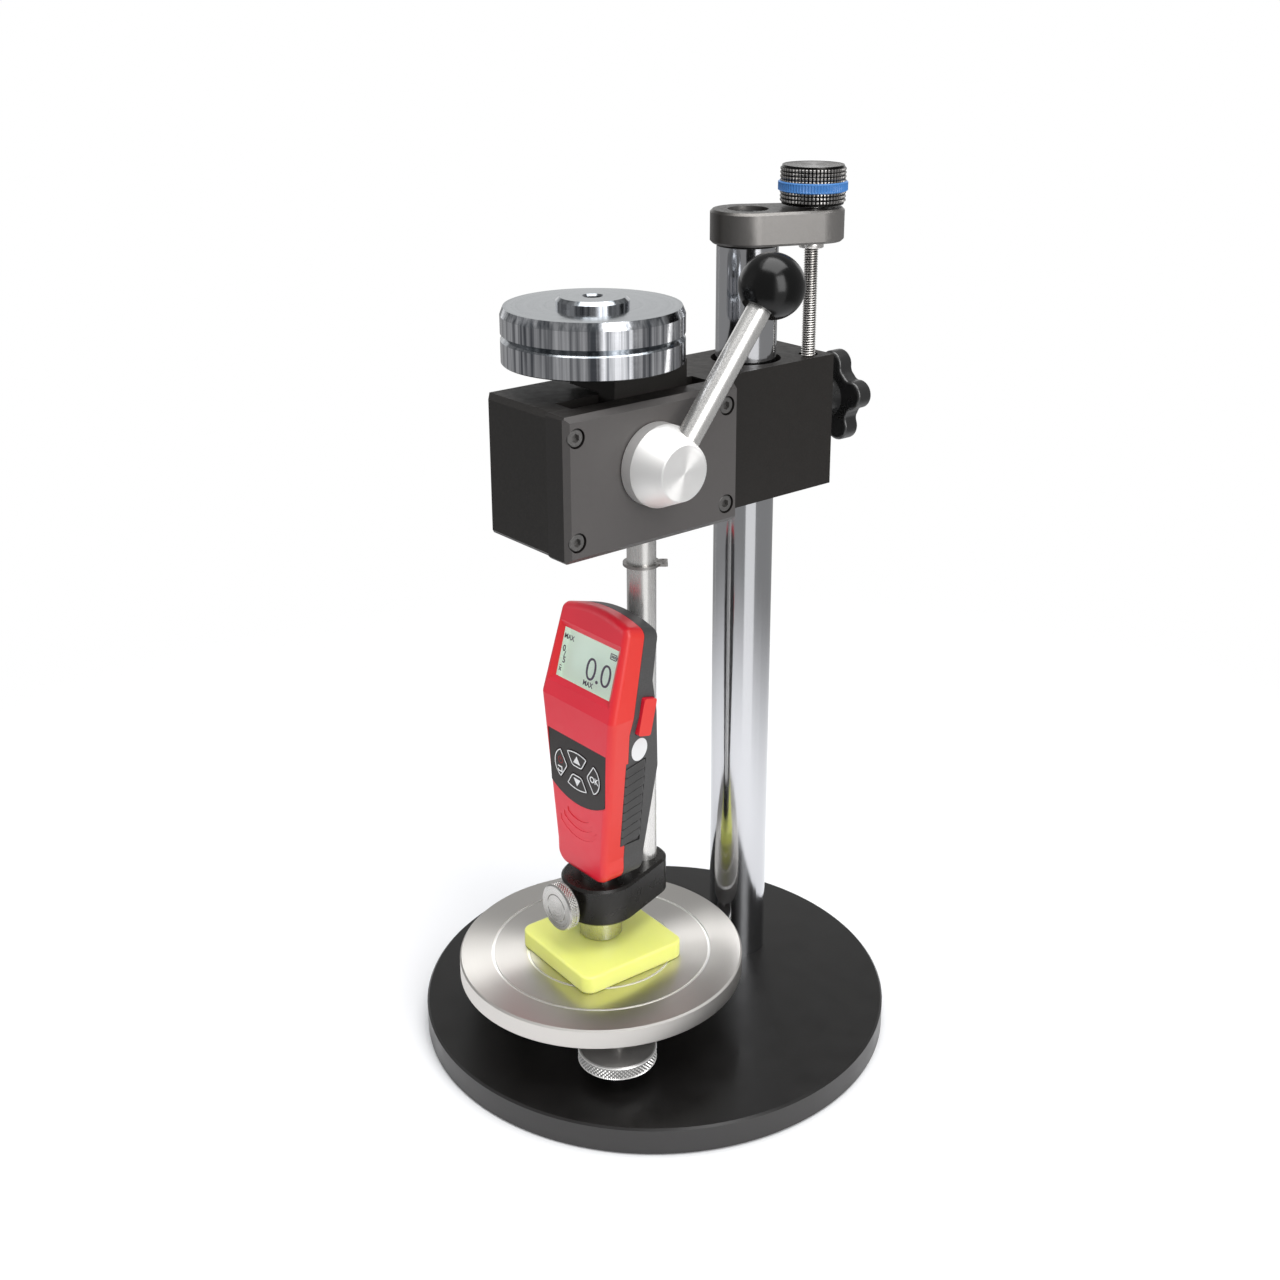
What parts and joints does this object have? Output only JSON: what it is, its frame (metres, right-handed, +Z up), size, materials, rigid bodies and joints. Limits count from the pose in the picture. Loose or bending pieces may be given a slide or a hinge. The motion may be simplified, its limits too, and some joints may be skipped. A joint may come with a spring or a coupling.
{
  "type": "durometer on a test stand",
  "caption": "Digital hardness gauge clamped to a weighted plunger that a side lever lifts, on a height-adjustable column stand with a levelling table.",
  "frame": {"origin": "centre of the round base's underside", "axes": "+Z up, -Y towards the user and the gauge's face, +X on the lever's side"},
  "size_m": [0.2, 0.2043, 0.364],
  "materials": {
    "base_paint": "satin black paint",
    "column_chrome": "polished hard chrome",
    "screw_black": "blackened steel",
    "bracket_black": "black anodised, finely milled",
    "steel_plain": "turned steel",
    "table_steel": "fine turned stainless steel",
    "level_steel": "turned steel with a knurled rim",
    "block_yellow": "translucent fluorescent yellow elastomer with a smooth skin",
    "arm_black": "black anodised, bead blasted",
    "cover_black": "black anodised",
    "bronze": "sintered bronze",
    "knob_black": "polished black phenolic",
    "knob_turned": "black anodised, knurled, with a turned grey top",
    "ring_blue": "blue moulded plastic",
    "rod_steel": "ground stainless steel",
    "weight_steel": "polished stainless steel",
    "clip_steel": "spring steel",
    "clamp_black": "black anodised",
    "thumb_steel": "turned steel with a knurled rim",
    "shell_red": "satin moulded plastic",
    "shell_grey": "fine textured moulded plastic",
    "grip_black": "soft moulded rubber",
    "window_clear": "clear acrylic",
    "display_grey": "reflective liquid crystal panel, pale green grey",
    "keypad_black": "printed membrane foil",
    "key_black": "moulded keys",
    "button_red": "moulded plastic",
    "board_green": "glass fibre board",
    "cell_metal": "wrapped steel can",
    "tray_black": "moulded plastic"
  },
  "bodies": {
    "stand": {"base_plate": "base_paint", "column": "column_chrome", "base_screws": "screw_black", "table_post": "steel_plain", "top_bracket": "bracket_black", "bracket_screw": "screw_black"},
    "table": {"table": "table_steel", "test_block": "block_yellow"},
    "levelling_screw_1": {"levelling_screw_1": "level_steel"},
    "levelling_screw_2": {"levelling_screw_2": "level_steel"},
    "levelling_screw_3": {"levelling_screw_3": "level_steel"},
    "arm": {"arm_body": "arm_black", "arm_cover": "cover_black", "cover_screws": "screw_black", "rod_bushes": "bronze", "shaft_bushes": "bronze", "spindle_nut": "bronze", "clamp_pad": "bronze"},
    "clamp_knob": {"clamp_knob": "knob_black", "clamp_stud": "steel_plain"},
    "lift_spindle": {"lift_spindle": "steel_plain", "spindle_knob": "knob_turned", "knob_ring": "ring_blue", "thrust_washer": "steel_plain"},
    "lever": {"lever_shaft": "steel_plain", "lever_hub": "rod_steel", "lever_rod": "rod_steel", "lever_ball": "knob_black", "pinion": "steel_plain"},
    "plunger": {"plunger_rod": "rod_steel", "carrier_block": "cover_black", "rack": "steel_plain", "rack_screws": "screw_black", "weight_lower": "weight_steel", "weight_upper": "weight_steel", "weight_stud": "steel_plain", "retaining_clip": "clip_steel", "gauge_clamp": "clamp_black", "rod_set_screw": "screw_black", "presser_foot": "steel_plain", "sensor_neck": "steel_plain", "load_cell": "steel_plain", "front_shell": "shell_red", "back_shell": "shell_grey", "grips": "grip_black", "display_window": "window_clear", "display": "display_grey", "keypad": "keypad_black", "circuit_board": "board_green", "batteries": "cell_metal", "battery_tray": "tray_black", "shell_screws": "screw_black"},
    "indenter": {"indenter": "steel_plain"},
    "thumb_screw": {"thumb_screw": "thumb_steel"},
    "side_button": {"side_button": "button_red"},
    "key_up": {"key_up": "key_black"},
    "key_down": {"key_down": "key_black"},
    "key_back": {"key_back": "key_black"},
    "key_ok": {"key_ok": "key_black"}
  },
  "joints": [
    {"name": "spindle_turn", "type": "hinge", "parent": "stand", "child": "lift_spindle", "pos_m": [0.012, 0.073, 0.34], "axis": [0, 0, 1], "range_deg": [-14400, 0]},
    {"name": "arm_slide", "type": "slide", "parent": "stand", "child": "arm", "axis": [0, 0, 1], "range_m": [0, 0.04]},
    {"name": "clamp_knob_turn", "type": "hinge", "parent": "arm", "child": "clamp_knob", "pos_m": [0, 0.1, 0.2632], "axis": [0, 1, 0], "range_deg": [-360, 0]},
    {"name": "plunger_slide", "type": "slide", "parent": "arm", "child": "plunger", "axis": [0, 0, 1], "range_m": [0, 0.01]},
    {"name": "lever_turn", "type": "hinge", "parent": "arm", "child": "lever", "pos_m": [0.02, -0.026, 0.2632], "axis": [1, 0, 0], "range_deg": [0, 60.32]},
    {"name": "indenter_slide", "type": "slide", "parent": "plunger", "child": "indenter", "axis": [0, 0, 1], "range_m": [-0.0025, 0]},
    {"name": "levelling_turn_1", "type": "hinge", "parent": "stand", "child": "levelling_screw_1", "pos_m": [0.0381, -0.0518, 0.02], "axis": [0, 0, 1], "range_deg": [0, 1080]},
    {"name": "levelling_turn_2", "type": "hinge", "parent": "stand", "child": "levelling_screw_2", "pos_m": [0, 0.0142, 0.02], "axis": [0, 0, 1], "range_deg": [0, 1080]},
    {"name": "levelling_turn_3", "type": "hinge", "parent": "stand", "child": "levelling_screw_3", "pos_m": [-0.0381, -0.0518, 0.02], "axis": [0, 0, 1], "range_deg": [0, 1080]},
    {"name": "table_lift", "type": "slide", "parent": "stand", "child": "table", "axis": [0, 0, 1], "range_m": [-0.003, 0]},
    {"name": "thumb_screw_turn", "type": "hinge", "parent": "plunger", "child": "thumb_screw", "pos_m": [0, -0.05, 0.06975], "axis": [0, 1, 0], "range_deg": [-360, 0]},
    {"name": "side_button_press", "type": "slide", "parent": "plunger", "child": "side_button", "axis": [-1, 0, 0], "range_m": [0, 0.0008], "stiffness_N_per_m": 500},
    {"name": "key_up_press", "type": "slide", "parent": "plunger", "child": "key_up", "axis": [0, 1, 0], "range_m": [0, 0.0004], "stiffness_N_per_m": 500},
    {"name": "key_down_press", "type": "slide", "parent": "plunger", "child": "key_down", "axis": [0, 1, 0], "range_m": [0, 0.0004], "stiffness_N_per_m": 500},
    {"name": "key_back_press", "type": "slide", "parent": "plunger", "child": "key_back", "axis": [0, 1, 0], "range_m": [0, 0.0004], "stiffness_N_per_m": 500},
    {"name": "key_ok_press", "type": "slide", "parent": "plunger", "child": "key_ok", "axis": [0, 1, 0], "range_m": [0, 0.0004], "stiffness_N_per_m": 500}
  ],
  "couplings": [
    {"joint": "spindle_turn", "follows": "arm_slide", "rad_per_m": -6283},
    {"joint": "lever_turn", "follows": "plunger_slide", "rad_per_m": 105.26},
    {"joint": "indenter_slide", "follows": "plunger_slide", "ratio": -0.25},
    {"joint": "levelling_turn_1", "follows": "table_lift", "rad_per_m": -6283},
    {"joint": "levelling_turn_2", "follows": "table_lift", "rad_per_m": -6283},
    {"joint": "levelling_turn_3", "follows": "table_lift", "rad_per_m": -6283}
  ]
}
